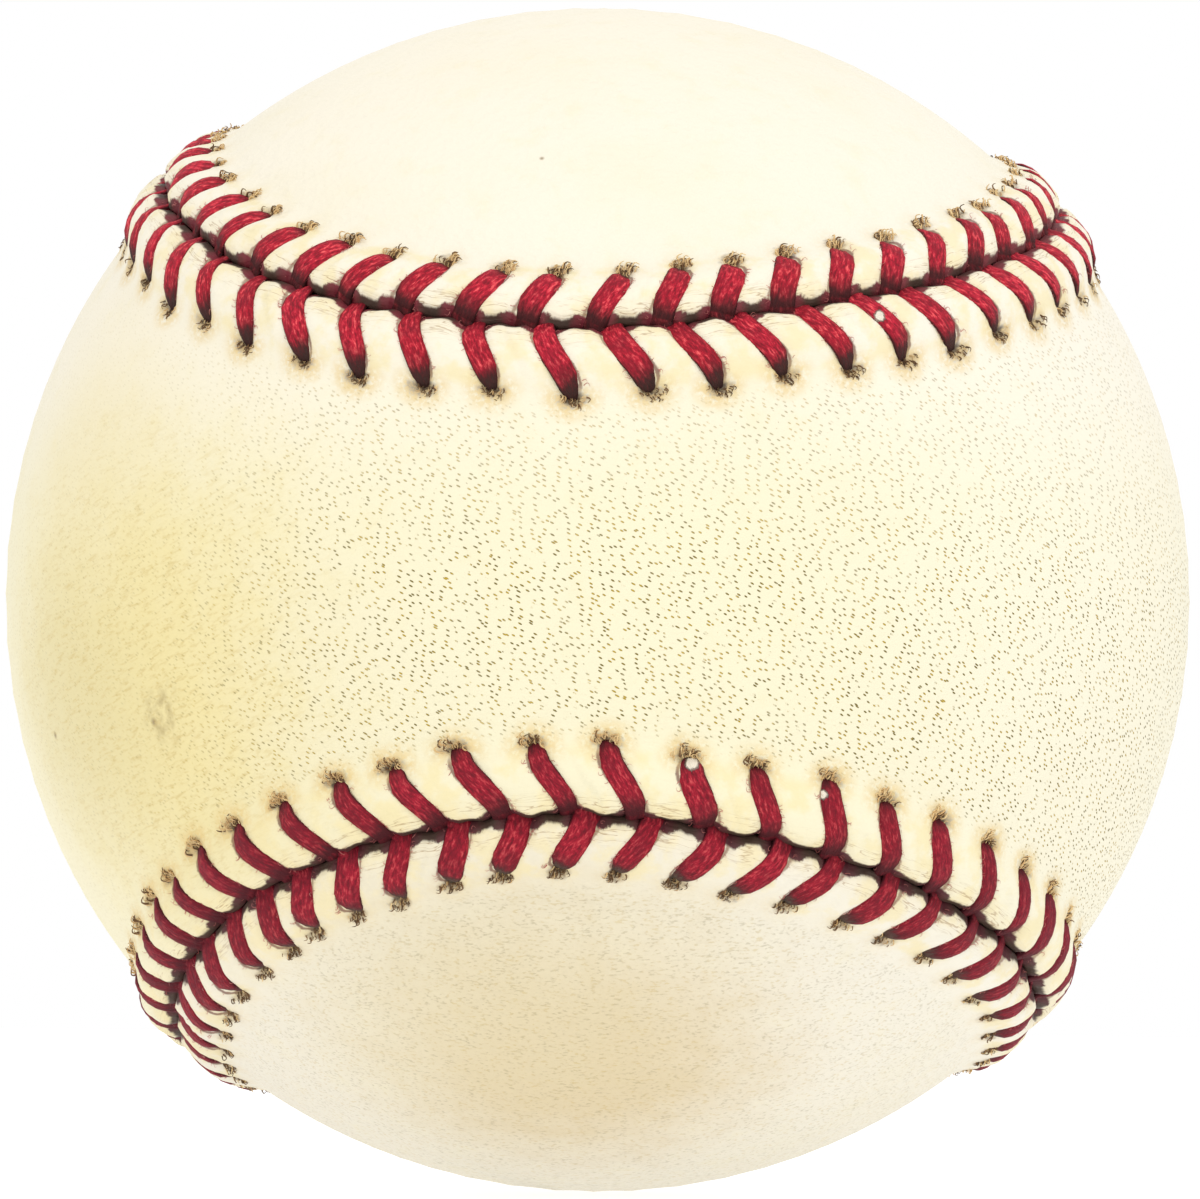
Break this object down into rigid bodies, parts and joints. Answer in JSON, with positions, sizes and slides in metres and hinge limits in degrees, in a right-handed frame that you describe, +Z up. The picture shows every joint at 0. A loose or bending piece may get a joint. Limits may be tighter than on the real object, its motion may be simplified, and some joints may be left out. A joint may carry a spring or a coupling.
{
  "type": "baseball",
  "caption": "Hand-laced leather ball: two figure-eight cover panels sewn with raised red stitches over wound yarn and a cushioned cork centre.",
  "frame": {"origin": "the ball's centre", "axes": "+Z up as the ball lies in the picture, -Y out through the middle of the front panel's neck, +X to the right seen from the front"},
  "size_m": [0.0732, 0.0732, 0.0732],
  "materials": {
    "cork_composition": "matt granular composition of ground cork and rubber",
    "black_rubber": "matt moulded",
    "red_rubber": "matt moulded",
    "grey_wool": "fuzzy wound wool yarn",
    "white_wool": "fuzzy wound wool yarn",
    "cotton_yarn": "fine wound cotton yarn",
    "cover_leather": "smooth full-grain hide with pores and light wear",
    "lacing_thread": "waxed cotton, fuzzy at its edges"
  },
  "bodies": {
    "root": {"cork_core": "cork_composition", "black_shell_front": "black_rubber", "black_shell_back": "black_rubber", "rubber_washer": "red_rubber", "red_rubber_jacket": "red_rubber", "inner_wool_winding": "grey_wool", "white_wool_winding": "white_wool", "outer_wool_winding": "grey_wool", "finishing_winding": "cotton_yarn", "cover_panel_front": "cover_leather", "cover_panel_back": "cover_leather", "lacing_thread_lead": "lacing_thread", "lacing_thread_follow": "lacing_thread"}
  },
  "joints": []
}
